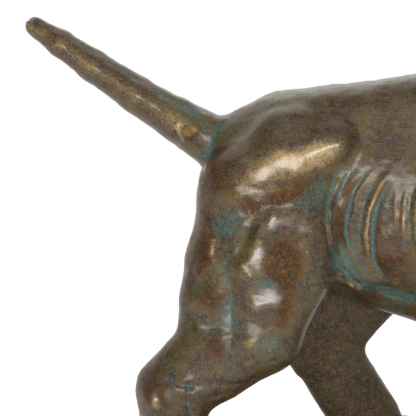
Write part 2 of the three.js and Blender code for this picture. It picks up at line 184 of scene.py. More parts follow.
# Forelegs as (x, z); the near one reaches forward, the far one is passing back under the chest
forelegs = [
    {"side": -1, "shoulder": [204, 190], "elbow": [168, 140], "wrist": [203, 70], "fetlock": [213, 38],
     "paw": [228, 44]},
    {"side": 1, "shoulder": [200, 190], "elbow": [158, 138], "wrist": [140, 72], "fetlock": [130, 39],
     "paw": [143, 44]},
]


def buildForeleg(leg):
    side, y = leg["side"], 45 * leg["side"]
    (sx, sz), (ex, ez), (wx, wz), (fx, fz) = leg["shoulder"], leg["elbow"], leg["wrist"], leg["fetlock"]
    chain([[146, 26 * side, 288, 17], [170, 40 * side, 244, 30], [sx, 43 * side, sz, 27]], blend=10,
          wide=0.5)  # shoulder blade
    chain([[142, 42 * side, 232, 32], [ex - 2, 49 * side, ez + 18, 23]], blend=8, wide=0.46)  # upper arm
    chain([[sx, 45 * side, sz, 26], [ex, 48 * side, ez, 23]], wide=0.66)
    egg([ex - 17, 48 * side, ez + 4], [11, 10, 13])  # point of the elbow
    chain([[ex, 48 * side, ez, 25], [wx, y, wz + 14, 19]], blend=8, wide=0.82)
    egg([wx, y, wz], [21, 18.5, 22], blend=8)
    chain([[wx, y, wz, 19.5], [fx, y, fz, 21.5]], blend=8, wide=0.88)
    buildPaw(leg["paw"][0], leg["paw"][1] * side)


def buildPaw(x, y):  # a pad with four arched toes and their claws
    egg([x - 5, y, 16], [34, 26, 25])
    for toe in range(4):
        spread = toe - 1.5
        reach = x + (8 if abs(spread) < 1 else 0)
        out = y + 13.4 * spread
        chain([[x - 4, y + 10 * spread, 27, 12.5], [reach + 11, out, 25, 12],
               [reach + 20, out + 0.5 * spread, 12.5, 11.4]], blend=3, join=2)
        chain([[reach + 27, out + 0.7 * spread, 13, 4.4], [reach + 33, out + spread, 6.5, 3]], blend=2)


# Head, in its own axes: u along the muzzle, v sideways, w up; tipped nose-down and drawn to its own size
head = {"x": 256, "z": 348, "pitch": 8, "size": 1.16}


def headBall(u, v, w, r=0.0):
    c, s = math.cos(math.radians(head["pitch"])), math.sin(math.radians(head["pitch"]))
    return [head["x"] + head["size"] * (u * c + w * s), head["size"] * v,
            head["z"] + head["size"] * (w * c - u * s), head["size"] * r]


def headChain(balls, **options):
    chain([headBall(*ball) for ball in balls], **options)


def headEgg(centre, radii, pitch=0, **options):
    egg(headBall(*centre)[:3], [r * head["size"] for r in radii], pitch=head["pitch"] + pitch, **options)


def buildNeck():
    chain([[140, 0, 250, 62], [196, 0, 292, 48], [234, 0, 330, 38]], blend=16, wide=[0.6, 0.7, 0.8], join=8)
    chain([[212, 0, 240, 19], [246, 0, 286, 14], [272, 0, 308, 12]], blend=12, wide=0.5)  # dewlap


def buildHead():
    headChain([[-12, 0, 5, 28], [13, 0, 2, 25]], blend=10, wide=0.98)  # skull
    headEgg([-36, 0, 9], [12, 8, 9], blend=12)  # back of the skull
    headChain([[14, 0, -6, 22], [44, 0, -6, 20], [72, 0, -8, 19.5]], wide=0.84)  # muzzle
    headChain([[6, 0, -28, 15], [64, 0, -33, 9]], blend=6)  # lower jaw
    headEgg([86, 0, 1], [9, 10.5, 9.5], blend=4)  # nose
    for side in (-1, 1):
        headEgg([24, 13.5 * side, 20], [13, 8, 7], pitch=10, blend=6)  # brow
        headEgg([0, 19 * side, -10], [23, 10, 18], blend=10)  # cheek
        headChain([[20, 14 * side, -20, 14], [46, 13 * side, -26, 15], [74, 9.5 * side, -21, 12]],
                  blend=4, wide=0.68)  # hanging lip
        headEgg([33, 19 * side, 8], [9, 6.5, 6], blend=5, sign=-1)  # eye socket
        headEgg([32, 15.5 * side, 8], [6.6, 5.6, 5.6], blend=1.5)  # eyeball
        headChain([[27, 17.5 * side, 13.6, 1.6], [34, 19 * side, 12.6, 1.7], [40, 15.5 * side, 8, 1.4]],
                  blend=2.5)  # upper lid
        headChain([[26, 17.5 * side, 4.2, 1.5], [33, 19 * side, 2.2, 1.7], [40, 15.5 * side, 6, 1.4]],
                  blend=2.5)  # lower lid
        headEgg([93.5, 5 * side, 1.5], [3.4, 2.2, 2.6], blend=1.5, sign=-1)  # nostril
        headChain([[-16, 21 * side, 10, 9], [-18, 30 * side, -2, 16], [-16, 34 * side, -26, 22],
                   [-8, 33 * side, -54, 19], [1, 30 * side, -72, 10]], blend=3,
                  wide=[0.6, 0.4, 0.28, 0.3, 0.5])  # ear


buildTrunk()
chain(tail, blend=7)
for leg in hindLegs:
    buildHindLeg(leg)
for leg in forelegs:
    buildForeleg(leg)
buildNeck()
buildHead()


def figureAt(points):  # the figure's distance at loose points, cut off flat at the soles
    value = np.full(len(points), farAway)
    for form in forms:
        reach = form["blend"] + outskirts
        near = np.flatnonzero(((points > form["low"] - reach) & (points < form["high"] + reach)).all(1))
        if not len(near):
            continue
        value[near] = joined(value[near], form["distance"](*points[near].T), form)
    return np.maximum(value, -points[:, 2])


# A lattice whose steps widen from the hindquarters to the head
lattice = {"fine": 1.35, "coarse": 2.5, "fineTo": 5.0, "coarseFrom": 150.0, "middle": 150.0, "margin": 2}


def makeLattice(low, high, fine, coarse):
    xs, steps = [low[0] - lattice["margin"] * fine], []
    while True:
        t = (xs[-1] - lattice["fineTo"]) / (lattice["coarseFrom"] - lattice["fineTo"])
        steps.append(fine + (coarse - fine) * min(max(t, 0), 1))
        if xs[-1] > high[0] + lattice["margin"] * steps[-1]:
            break
        xs.append(xs[-1] + steps[-1])
    middle = lattice["middle"] if low[2] < lattice["middle"] < high[2] else low[2]
    halfWide = int(math.ceil(max(-low[1], high[1]) / fine)) + lattice["margin"]
    under = int(math.ceil((middle - low[2]) / fine)) + lattice["margin"]
    over = int(math.ceil((high[2] - middle) / fine)) + lattice["margin"]
    return {"x": np.array(xs), "step": np.array(steps), "wide": halfWide, "under": under, "over": over,
            "middle": middle}


def latticePoint(grid, i, j, k):  # the place of a whole or fractional lattice index
    step = np.interp(i, np.arange(len(grid["x"])), grid["step"])
    x = np.interp(i, np.arange(len(grid["x"])), grid["x"])
    return np.stack([x, (j - grid["wide"]) * step, grid["middle"] + (k - grid["under"]) * step], -1)


def figureOnLattice(grid):
    x, step = grid["x"], grid["step"]
    shape = (len(x), 2 * grid["wide"] + 1, grid["under"] + grid["over"] + 1)
    value = np.full(shape, farAway, np.float32)
    for form in forms:
        reach = form["blend"] + outskirts
        low, high = form["low"] - reach, form["high"] + reach
        i0, i1 = max(np.searchsorted(x, low[0]) - 1, 0), min(np.searchsorted(x, high[0]) + 1, len(x))
        s = step[i0:i1]
        j0 = max(int(grid["wide"] + np.floor((low[1] / s).min())), 0)
        j1 = min(int(grid["wide"] + np.ceil((high[1] / s).max())) + 1, shape[1])
        k0 = max(int(grid["under"] + np.floor(((low[2] - grid["middle"]) / s).min())), 0)
        k1 = min(int(grid["under"] + np.ceil(((high[2] - grid["middle"]) / s).max())) + 1, shape[2])
        px = x[i0:i1, None, None]
        py = ((np.arange(j0, j1) - grid["wide"])[None, :] * s[:, None])[:, :, None]
        pz = (grid["middle"] + (np.arange(k0, k1) - grid["under"])[None, :] * s[:, None])[:, None, :]
        part = value[i0:i1, j0:j1, k0:k1]
        part[...] = joined(part, form["distance"](px, py, pz), form)
    z = grid["middle"] + (np.arange(shape[2]) - grid["under"])[None, :] * step[:, None]
    return np.maximum(value, -z[:, None, :])


def surfaceNet(value):  # one vertex in each cell that the surface crosses, one face for each crossed edge
    inside = value < 0
    shape = np.array(value.shape)
    cells, spots, faces = [], [], []
    for axis in range(3):
        u, v = (axis + 1) % 3, (axis + 2) % 3
        low = tuple(slice(0, -1) if a == axis else slice(1, -1) for a in range(3))
        high = tuple(slice(1, None) if a == axis else slice(1, -1) for a in range(3))
        start = np.argwhere(inside[low] != inside[high])
        start[:, u] += 1
        start[:, v] += 1
        end = start.copy()
        end[:, axis] += 1
        a, b = value[tuple(start.T)], value[tuple(end.T)]
        spot = start.astype(float)
        spot[:, axis] += a / (a - b)
        around = []
        for du, dv in ((1, 1), (0, 1), (0, 0), (1, 0)):
            cell = start.copy()
            cell[:, u] -= du
            cell[:, v] -= dv
            around.append(np.ravel_multi_index(tuple(cell.T), tuple(shape)))
            cells.append(around[-1])
            spots.append(spot)
        quad = np.stack(around, 1)
        outward = inside[tuple(start.T)]
        faces.append(np.where(outward[:, None], quad, quad[:, ::-1]))
    found, index = np.unique(np.concatenate(cells), return_inverse=True)
    spots = np.concatenate(spots)
    count = np.bincount(index)
    place = np.stack([np.bincount(index, weights=spots[:, a]) / count for a in range(3)], 1)
    return place, np.searchsorted(found, np.concatenate(faces))


def gradientAt(field, points, step=0.5):
    slopes = []
    for axis in range(3):
        shift = np.zeros(3)
        shift[axis] = step
        slopes.append((field(points + shift) - field(points - shift)) / (2 * step))
    return np.stack(slopes, 1)


settling = {"rounds": 2, "most": 1.2, "flattest": 0.05}  # mm in one round, and the least slope, squared


def settleOn(field, points):  # moves points onto the surface, and gives the normals there
    for _ in range(settling["rounds"]):
        slope = gradientAt(field, points)
        steep = np.maximum((slope ** 2).sum(1, keepdims=True), settling["flattest"])
        move = field(points)[:, None] * slope / steep
        points = points - np.clip(move, -settling["most"], settling["most"])
    slope = gradientAt(field, points)
    return points, slope / np.maximum(np.linalg.norm(slope, axis=1, keepdims=True), 1e-6)


# Seeded lattice noise, about -1 to 1; the large numbers only scramble bits
def hashed(i, j, k, seed):
    word, half = 0xFFFFFFFF, 0xFFFF
    mixed = (i * 374761393 + j * 668265263 + k * 2147483647 + seed * 1274126177) & word
    mixed = ((mixed ^ (mixed >> 13)) * 1103515245) & word
    mixed = ((mixed ^ (mixed >> 16)) * 2246822519) & word
    return (mixed & half) / (half / 2) - 1


def noiseAt(points, size, seed):
    p = points / np.array(size)
    cell = np.floor(p).astype(np.int64)
    t = p - cell
    t = t * t * t * (t * (t * 6 - 15) + 10)
    total = 0
    for a in (0, 1):
        for b in (0, 1):
            for c in (0, 1):
                weight = (t[:, 0] if a else 1 - t[:, 0]) * (t[:, 1] if b else 1 - t[:, 1])
                weight = weight * (t[:, 2] if c else 1 - t[:, 2])
                total = total + weight * hashed(cell[:, 0] + a, cell[:, 1] + b, cell[:, 2] + c, seed)
    return total


# Relief of the surface. Places are (x, z) on one side of the hound, in millimetres, and side is 1 or -1.
# Each form ends in four values: its height, and how much teal, rust and rubbed gold it gathers; the gold is
# worn bronze, and on the bright crests and lines it is a painted highlight as well
folds = [  # loose skin: x, middle z, bow above and below, lowest and highest z, width, and the four
    (-72.6, 201, 0.0078, 0.0115, 144, 241, 1.8, -1.1, 0.6, 0, 0),
    (-69.4, 201, 0.0080, 0.0115, 168, 236, 1.3, 0.5, 0.1, 0.2, 0.3),
    (-66.5, 199, 0.0086, 0.0132, 150, 241, 1.6, -0.6, 0.6, 0, 0),
    (-61.6, 198, 0.0086, 0.0140, 172, 240, 2.3, 0.5, -0.3, 0.7, 0.2),
    (-57.6, 196, 0.0087, 0.0160, 178, 238, 1.8, -0.9, 0.9, 0, 0),
    (-54.6, 195, 0.0080, 0.0150, 182, 236, 1.3, 0.4, -0.2, 0.4, 0.4),
    (-51.8, 196, 0.0078, 0.0120, 186, 232, 1.2, -0.4, 0.5, 0, 0),
    (-48.4, 192, 0.0067, 0.0120, 178, 230, 1.6, -0.8, 0.8, 0, 0),
    (-43.6, 189, 0.0066, 0.0120, 172, 237, 2.2, 1.1, -0.3, 0.2, 0.5),
    (-39.6, 187, 0.0059, 0.0130, 158, 229, 2.4, -1.7, 1.2, -0.2, -0.3),
    (-31, 200, 0.0060, 0.0100, 186, 226, 2.6, -0.5, 0.7, 0, 0),
    (-25.1, 205, 0.0060, 0.0100, 192, 226, 1.2, 0.6, -0.2, 0, 0.5),
    (-19.9, 203, 0.0080, 0.0110, 186, 226, 1.5, 0.8, -0.3, 0, 0.8),
    (-15.6, 203, 0.0080, 0.0110, 184, 228, 1.3, -0.6, 0.3, 0, 0),
    (-10.5, 203, 0.0080, 0.0110, 180, 228, 3, 1.2, -0.6, 0.1, 1),
]
ribs = {"first": 8, "spacing": 17, "count": 6, "width": 4.2, "depth": 1, "fade": 0.1, "middle": 200,
        "low": 150, "high": 262, "bow": 0.010, "teal": 0.4, "rubbedAndHighlight": -0.2}
strokes = [  # side, points (x, z), width, and the four
    (-1, [(-124, 225), (-116, 232), (-103.8, 239.4), (-90, 244), (-78, 248.5)],
     9.5, 0, -0.6, 0, 1.2),  # the rump's ridge, its rubbed gold a painted highlight along the crest
    (-1, [(-104, 217), (-94, 222.4), (-80, 229.2), (-67.6, 234.7)], 6.5, -0.3, 0.1, 0.5, -0.6),
    (-1, [(-124.3, 197), (-128.4, 188.8), (-131.1, 180.6)], 4.6, -1.8, -0.5, 0.2, -0.6),
    (-1, [(-122, 214), (-111, 218), (-98, 221)], 9, 0, -0.2, 0.8, -0.4),  # painted shade below the ridge, in rust with less gold, where the surface turns from the light
    (-1, [(-140.7, 180.6), (-138.6, 164.9), (-138, 147.8), (-137.3, 127.3), (-135.9, 105.4)],
     5, -1, 0.7, -0.4, -0.3),  # the hamstring's trough
    (-1, [(-148.9, 191.5), (-150.3, 182), (-153.7, 175.1), (-158.5, 166.9)], 3, 1.3, -0.2, 0.5, 0.5),
    # the next two thin raised lines carry rubbed gold that is also a painted highlight
    (-1, [(-134.5, 218.9), (-129.1, 214.1), (-123.6, 207.3)], 1.4, 0.7, -0.2, 0, 0.4),
    (-1, [(-129.1, 172.4), (-124.3, 166.2)], 1.4, 0.7, -0.2, 0, 0.9),
    (-1, [(-180.4, 95.8), (-168.7, 93), (-163.9, 91.6)], 1.8, -0.7, 1, 0, 0),
    (-1, [(-163.9, 91.6), (-166, 84), (-165, 74), (-162.9, 69)], 2.2, -0.8, 1.1, 0, 0),
    (-1, [(-162.9, 91.3), (-147.3, 92.5), (-132.3, 90.5)], 2.4, -0.9, 0.1, -0.3, 0),
    (-1, [(-151.9, 83.5), (-134.7, 85.8), (-118, 96)], 2.4, -0.7, 0.1, -0.3, 0),
    (-1, [(-144, 264), (-150, 256), (-156, 246)], 3.2, -1.2, 0.7, 0, 0),  # root of the tail
    (-1, [(-173.5, 265.4), (-168.7, 256.5)], 1.4, 0.7, -0.2, 0.2, 0.6),
    (-1, [(-66, 172), (-48, 158), (-24, 150), (4, 143)], 2, -0.7, 0.7, 0, 0),
    (-1, [(-62, 162), (-40, 152), (-14, 144), (8, 138)], 1.8, -0.6, 0.5, 0, 0),
    (-1, [(-61.4, 163), (-52.5, 155)], 1.3, 0.7, -0.2, 0, 0.5),
    (-1, [(-83, 161), (-62, 160.6), (-48, 156)], 2.2, -1, 0.3, 0.2, 0),  # crease under the flank
    (1, [(-69.7, 115.3), (-58, 118), (-50.3, 117), (-40, 121)], 1.8, -1.1, 0, 0, -0.3),
    (1, [(-74, 137), (-66, 139), (-52, 138.5)], 1.6, -0.9, 0, 0, -0.2),
]
swells = [  # side, x, z, half length, half height, and the four
    (-1, -103.8, 177.8, 14, 13, 1.3, -0.3, 1.2, -0.6), (-1, -99, 163, 10, 13, 0.6, -0.1, 0.9, -0.5),
    (-1, -150.3, 149.1, 9.5, 8, 1.7, -0.6, 1, 0.1), (-1, -147.5, 118.4, 10, 8, 1.6, -0.6, 1.1, 0.1),
    (-1, -155.7, 182, 7, 16, 0.9, -0.5, 0.9, 0),
    (-1, -113.3, 158.7, 8, 4.4, -1.2, 1.2, -0.3, -0.3), (-1, -118.8, 135.5, 8, 4, -1, 0.2, 0.3, 0),
    (-1, -103.8, 142.3, 6.5, 12, 0.9, -0.4, 1.1, 0), (-1, -122.9, 120.4, 4, 5, 0.9, -0.1, 0.2, 0.6),
    (-1, -108, 122, 9, 9, -0.7, 0.5, 0, 0), (-1, -188.6, 80.7, 9, 8, 2.4, -0.7, 1, 0.4),
    (-1, -194, 90, 8, 5, -0.4, -0.5, 0.3, -0.6),
    (-1, -163.8, 262.5, 5, 4.4, 1.5, -0.2, 0.5, 0.6), (-1, -138, 199, 13, 8, -0.8, 0.9, -0.3, -0.3),
    (-1, -86, 212.8, 12, 15, -0.9, 0.8, 0, -0.3), (-1, -73, 173.8, 9, 6, -0.6, 0.5, -0.2, 0),
    (-1, -58, 176, 9, 9, -0.3, 0.4, 0, 0), (-1, -26.4, 172.4, 12, 9, 0.8, -0.4, 0.9, 0.3),
    (-1, -30, 194, 4, 5, 1.2, 0.3, 0.2, 0.8), (-1, -97.7, 121.2, 2.4, 1.8, -1.3, 0.1, 0, -1),
    (-1, -108.7, 107, 2.4, 1.8, -1.2, 0.1, 0, -1),
    (-1, -125, 108.4, 2.6, 2, -1.2, 0.1, 0, -1),
    (-1, -155.1, 94.9, 1.8, 1.8, -1, 0, 0, -1), (-1, -148, 232, 11, 13, 0.8, -0.4, 0.8, 0.2),
    (-1, -120, 256, 30, 12, 0.2, -0.4, 0.3, 0.3), (-1, -150, 131, 7, 5, -1.1, 0.5, -0.5, 0),
    (-1, -160, 160, 6, 6, -1.1, 0.4, -0.4, 0), (1, -87.5, 73.6, 3, 3, 1, 0, 0, 0),
]
tilts = [  # flats turned to or from the light: side, points, width, degrees up and forward, how proud
    (-1, [(-117, 232.5), (-109, 239), (-98, 243), (-86, 246.5), (-76, 250), (-67, 254)], 7, 4.2, 2.5, 0.1),
    (-1, [(-122, 213), (-111, 217), (-99, 220)], 8, -4, 0, -0.3),
    (-1, [(-109, 206), (-113, 200.5), (-118, 195.5)], 3.4, 6, 1, 0.9),
    (-1, [(-119, 188.5), (-121, 182), (-122, 176)], 3.8, 7, 1, 0.8),
    (-1, [(-112.5, 150.5), (-117, 148.5), (-120.5, 146)], 5.6, 8.5, 1, 1.1),
    (-1, [(-188, 84.5), (-187, 79)], 2.6, 11, 5, 0.3),
    (-1, [(-148, 188), (-149.5, 180)], 2, 7, 3, 0.2),
]
lumps = {  # hand-worked unevenness: size and height of each scale
    "broad": (26.0, 0.55, 11), "thumb": (11.0, 0.3, 12), "tool": (5.0, 0.18, 13), "grain": (2.6, 0.1, 14),
    "knobs": (6.0, 0.6, 15),
}
warp = {"wide": (13.0, 3.0, 21), "fine": (4.0, 0.9, 23)}  # how far outlines of the modelling wander
# Shares of it that outlines take, and the widths in mm that take all of it
wandering = {"fold": 0.3, "thinStroke": 0.3, "wideStroke": 5.0, "swell": 8.0, "swellMost": 0.8}
sides = {"fade": 12.0, "farFolds": 0.7, "foldEnd": 12}  # mm off the middle line, share, mm at a fold's end
tailShape = {  # angles are degrees above the side; start, fade and length are mm along the tail
    "start": 30, "fade": 12, "length": 163, "shoulder": -12, "spread": 26, "rise": 0.08,
    "flat": 48, "fall": 0.12,
    # the rubbed band is a painted highlight line in gold along the tail's near side
    "rubbedAndHighlight": -12, "highlightLineSpread": 24, "highlightLineFour": (0, -0.3, 0.1, 0.5),
    # the grey band paints the tail's top face teal on the near side, a painted reflection of the bright
    # room
    "grey": 24, "reflectionEdge": 5, "reflectionFour": (0, 0.45, -0.5, -0.7),
    "knobsAt": -172, "knobsReach": 26, "knobsAbove": 235, "calm": {"broad": 0.7, "thumb": 0.5},
}
calm = {"soles": 6, "solesFade": 20, "head": 205, "headFade": 30, "headShare": 0.6}  # where lumps are lower


def sideWeight(y, side):
    return np.clip(side * y / sides["fade"], 0, 1)


def strokeDistance(x, z, points):
    least = np.full(len(x), farAway)
    for (ax, az), (bx, bz) in zip(points[:-1], points[1:]):
        dx, dz = bx - ax, bz - az
        t = np.clip(((x - ax) * dx + (z - az) * dz) / (dx * dx + dz * dz), 0, 1)
        least = np.minimum(least, np.hypot(x - ax - t * dx, z - az - t * dz))
    return least


def foldProfile(x, z, at, middle, bowAbove, bowBelow, low, high, width):
    up = z - middle
    bow = np.where(up > 0, bowAbove, bowBelow)
    slope = 2 * bow * up
    across = (x - at - bow * up * up) / np.sqrt(1 + slope * slope)
    ends = np.clip((z - low) / sides["foldEnd"], 0, 1) * np.clip((high - z) / sides["foldEnd"], 0, 1)
    return np.exp(-(across / width) ** 2) * ends


pressing = {"rubbedAndHighlight": 0.45, "gain": 1.5}  # how much rubbed gold and painted highlight a form gathers at least to be flat-topped, and how much of its top is flat


def pressed(d, rubbedAndHighlight):  # the forms with much rubbed gold and painted highlight have a flat top, as wax pressed with a thumb has
    shape = np.exp(-d * d)
    return np.minimum(pressing["gain"] * shape, 1) if rubbedAndHighlight > pressing["rubbedAndHighlight"] else shape


def tailFrame(x, y, z):  # how far a place lies on the tail, and its angle above the side, in degrees
    line = np.array(tail)
    way = line[-1, [0, 2]] - line[0, [0, 2]]
    way = way / np.linalg.norm(way)
    along = (x - line[0, 0]) * way[0] + (z - line[0, 2]) * way[1]
    over = (z - line[0, 2]) * -way[0] + (x - line[0, 0]) * way[1]
    radius = np.interp(along, np.linspace(0, tailShape["length"], len(tail)), line[:, 3])
    onTail = np.clip((along - tailShape["start"]) / tailShape["fade"], 0, 1)
    return onTail, np.degrees(np.arctan2(over, np.abs(y))), radius


def reliefAt(points):
    x, y, z = points.T
    total = np.zeros((4, len(x)))  # height, teal, rust, rubbed gold with painted highlight
    dx, dz = 0, 0
    for size, reach, seed in warp.values():
        dx = dx + reach * noiseAt(points, size, seed)
        dz = dz + reach * noiseAt(points, size, seed + 1)
    near, far = sideWeight(y, -1), sideWeight(y, 1)

    def add(shape, four):
        for row, amount in enumerate(four):
            total[row] += amount * shape

    for fold in folds:
        shape = foldProfile(x + wandering["fold"] * dx, z, *fold[:7])
        add(shape * (near + sides["farFolds"] * far), fold[7:])
    for n in range(ribs["count"]):
        at = ribs["first"] + n * ribs["spacing"]
        cut = foldProfile(x + wandering["fold"] * dx, z, at, ribs["middle"], ribs["bow"], ribs["bow"],
                          ribs["low"], ribs["high"], ribs["width"])
        depth = ribs["depth"] * (1 - ribs["fade"] * n)
        add(cut * (near + far), (-depth, ribs["teal"], 0, ribs["rubbedAndHighlight"]))
    for side, line, width, *four in strokes:
        thin = wandering["thinStroke"]
        wander = thin + (1 - thin) * min(1.0, width / wandering["wideStroke"])
        away = strokeDistance(x + wander * dx, z + wander * dz, line)
        add(pressed(away / width, four[3]) * sideWeight(y, side), four)
    for side, atX, atZ, halfLong, halfHigh, *four in swells:
        wander = min(wandering["swellMost"], halfLong / wandering["swell"])
        d = np.hypot((x + wander * dx - atX) / halfLong, (z + wander * dz - atZ) / halfHigh)
        add(pressed(d, four[3]) * sideWeight(y, side), four)
    onTail, angle, radius = tailFrame(x, y, z)
    shoulder = np.exp(-((angle - tailShape["shoulder"]) / tailShape["spread"]) ** 2)
    flat = np.exp(-((angle - tailShape["flat"]) / tailShape["spread"]) ** 2)
    add((tailShape["rise"] * shoulder - tailShape["fall"] * flat) * radius * onTail, (1, 0, 0, 0))
    # a painted highlight line in rubbed gold along the tail's near side
    rubbedAndHighlight = np.exp(-((angle - tailShape["rubbedAndHighlight"]) / tailShape["highlightLineSpread"]) ** 2)
    add(rubbedAndHighlight * onTail * near, tailShape["highlightLineFour"])
    # the tail's top face painted teal, with less rust and gold, on the near side: a painted reflection
    grey = np.clip((angle - tailShape["grey"]) / tailShape["reflectionEdge"], 0, 1)
    add(grey * onTail * near, tailShape["reflectionFour"])
    fromRoot = np.abs(x - tailShape["knobsAt"]) / tailShape["knobsReach"]
    tailRoot = np.clip(1 - fromRoot, 0, 1) * (z > tailShape["knobsAbove"])
    body = np.clip((z - calm["soles"]) / calm["solesFade"], 0, 1)
    body = body * (1 - calm["headShare"] * np.clip((x - calm["head"]) / calm["headFade"], 0, 1))
    for name, (size, rise, seed) in lumps.items():
        weight = tailRoot if name == "knobs" else 1 - tailShape["calm"].get(name, 0) * onTail
        total[0] += rise * noiseAt(points, size, seed) * weight * body
    return total


march = {"from": 100.0, "steps": 60, "share": 0.8, "most": 3}  # mm out, and how it comes in to the surface


def surfaceY(x, z, side):  # how far out the figure reaches at (x, z), found from outside
    spot = np.array([[x, side * march["from"], z]])
    for _ in range(march["steps"]):
        spot[0, 1] -= side * min(march["share"] * figureAt(spot)[0], march["most"])
    return spot[0, 1]


# A flat reaches so many widths, stays so many mm off the middle line and has an outline that wanders. It
# shines the more the prouder it is, and takes a share of the relief and the teal and adds a painted
# highlight in rubbed gold
flats = {"reach": 5, "offMiddle": 8, "wander": 0.25, "shine": 0.65, "calm": 0.5, "highlightClears": 0.6, "highlightGold": 0.5}


def tiltedAt(points):  # what the tilts add to the height, and how much of a tilted place each point is
    move, facet = np.zeros(len(points)), np.zeros(len(points))
    size, _, seed = warp["wide"]
    wander = flats["wander"] * np.stack([noiseAt(points, size, seed + 5), np.zeros(len(points)),
                                         noiseAt(points, size, seed + 6)], 1)
    for side, line, width, up, forward, proud in tilts:
        up, forward = math.radians(up), math.radians(forward)
        facing = np.array([math.sin(forward), side * math.cos(up) * math.cos(forward), math.sin(up)])
        knots = np.array([(ax, surfaceY(ax, az, side), az) for ax, az in line])
        slope = gradientAt(figureAt, knots, 1.0)
        lean = slope / np.linalg.norm(slope, axis=1, keepdims=True) - facing
        rise = np.append(0, np.cumsum(((lean[1:] + lean[:-1]) / 2 * np.diff(knots, axis=0)).sum(1)))
        rise += proud - rise.mean()
        close = strokeDistance(points[:, 0], points[:, 2], line) < flats["reach"] * width
        near = np.flatnonzero(close & (side * points[:, 1] > flats["offMiddle"]))
        p = points[near] + width * wander[near]
        least, value = np.full(len(p), farAway), np.zeros(len(p))
        for n in range(len(knots) - 1):
            way = knots[n + 1] - knots[n]
            t = np.clip(((p - knots[n]) * way).sum(1) / (way @ way), 0, 1)[:, None]
            away = p - knots[n] - t * way
            leanHere = lean[n] + t * (lean[n + 1] - lean[n])
            here = rise[n] + t[:, 0] * (rise[n + 1] - rise[n]) + (away * leanHere).sum(1)
            reach = np.hypot(away[:, 0], away[:, 2])
            value = np.where(reach < least, here, value)
            least = np.minimum(reach, least)
        part = np.exp(-0.5 * (least / width) ** 2)
        move[near] += part * value
        if proud > 0:
            facet[near] = np.maximum(facet[near], part * min(1, flats["shine"] + proud))
    return move, facet


shelter = {"looks": ((6, 0.5), (20, 0.8)), "most": 1.5}  # mm out from the surface, and what each counts
evening = 0.6  # share of its neighbours' place that a point takes in a round


def shelterAt(points, normals):  # how far the figure itself closes in on a place, 0 in the open
    closed = sum(weight * (1 - figureAt(points + normals * out) / out) for out, weight in shelter["looks"])
    return np.clip(closed, 0, shelter["most"])


def neighbourPairs(faces):
    pairs = np.concatenate([faces[:, [a, (a + 1) % faces.shape[1]]] for a in range(faces.shape[1])])
    return np.concatenate([pairs, pairs[:, ::-1]])


def evened(points, pairs, rounds):
    count = np.bincount(pairs[:, 0], minlength=len(points))[:, None]
    for _ in range(rounds):
        total = np.stack([np.bincount(pairs[:, 0], weights=points[pairs[:, 1], a], minlength=len(points))
                          for a in range(3)], 1)
        points = (1 - evening) * points + evening * total / count
    return points


def hollowness(points, normals, faces, rounds):  # mm that a place lies below its evened surroundings
    return ((evened(points, neighbourPairs(faces), rounds) - points) * normals).sum(1)


def meshFrom(name, points, faces, values):
    mesh = bpy.data.meshes.new(name)
    mesh.from_pydata(points * mm, [], faces.tolist())
    for key, value in values.items():
        mesh.attributes.new(key, "FLOAT", "POINT").data.foreach_set("value", value.astype(np.float32))
    mesh.shade_smooth()
    piece = bpy.data.objects.new(name, mesh)
    bpy.context.scene.collection.objects.link(piece)
    return piece


def lightened(piece, triangles):  # joins the flattest edges until the piece has that many triangles
    now = sum(len(p.vertices) - 2 for p in piece.data.polygons)
    modifier = piece.modifiers.new("lighten", "DECIMATE")
    modifier.ratio = min(triangles / now, 1.0)
    mesh = bpy.data.meshes.new_from_object(piece.evaluated_get(bpy.context.evaluated_depsgraph_get()))
    piece.modifiers.clear()
    piece.data = mesh
    mesh.name = piece.name
    return now, len(mesh.polygons)


hound = {  # in mm and shares, but for the triangles and the rounds of evening
    "triangles": 190000, "quickStep": 1.5, "evenRounds": 8, "soleFade": 4, "soleFlat": 0.5,
    "innerGain": 1.6, "innerFrom": 14, "innerFade": 8, "legsFrom": 150, "legsFade": 40,
}


def makeHound():
    low = np.min([form["low"] for form in forms], axis=0)
    high = np.max([form["high"] for form in forms], axis=0)
    low[2] = 0
    slower = 1.0
    grid = makeLattice(low, high, lattice["fine"] * slower, lattice["coarse"] * slower)
    place, faces = surfaceNet(figureOnLattice(grid))
    points = latticePoint(grid, place[:, 0], place[:, 1], place[:, 2])
    print("hound: net of", len(faces), "faces")
    points, normals = settleOn(figureAt, points)
    height, teal, rust, rubbedAndHighlight = reliefAt(points)
    onTail = tailFrame(*points.T)[0]
    move, facet = tiltedAt(points)
    height = height * (1 - flats["calm"] * facet) + move
    # at the proud flats teal and rust give way to rubbed gold, a painted highlight
    teal = teal - flats["highlightClears"] * facet
    rust = rust * (1 - facet)
    rubbedAndHighlight = rubbedAndHighlight + flats["highlightGold"] * facet ** 2
    side = np.sign(points[:, 1])
    turned = np.clip(-hound["innerGain"] * side * normals[:, 1], 0, 1)  # faces the other legs
    inner = turned * np.clip((side * points[:, 1] - hound["innerFrom"]) / hound["innerFade"], 0, 1)
    above = np.clip(points[:, 2] / hound["soleFade"], 0, 1)
    points = points + normals * (height * above)[:, None]
    points[:, 2] = np.where(points[:, 2] < hound["soleFlat"], 0, points[:, 2])
    onLegs = np.clip((hound["legsFrom"] - points[:, 2]) / hound["legsFade"], 0, 1)
    step = np.interp(points[:, 0], grid["x"], grid["step"])
    small = hollowness(points, normals, faces, hound["evenRounds"]) * (lattice["fine"] / step) ** 2
    large = shelterAt(points, normals)
    print("hound: relief from", round(height.min(), 2), "to", round(height.max(), 2), "mm")
    values = {"hollow": small, "dip": large, "teal": teal, "rust": rust, "rubbedAndHighlight": rubbedAndHighlight, "inner": inner,
              "polished": facet ** 2, "lieTail": onTail, "lieLeg": onLegs}
    piece = meshFrom("bronze_hound", points * share + standing, faces, values)
    print("hound: triangles", lightened(piece, hound["triangles"]))
    return piece


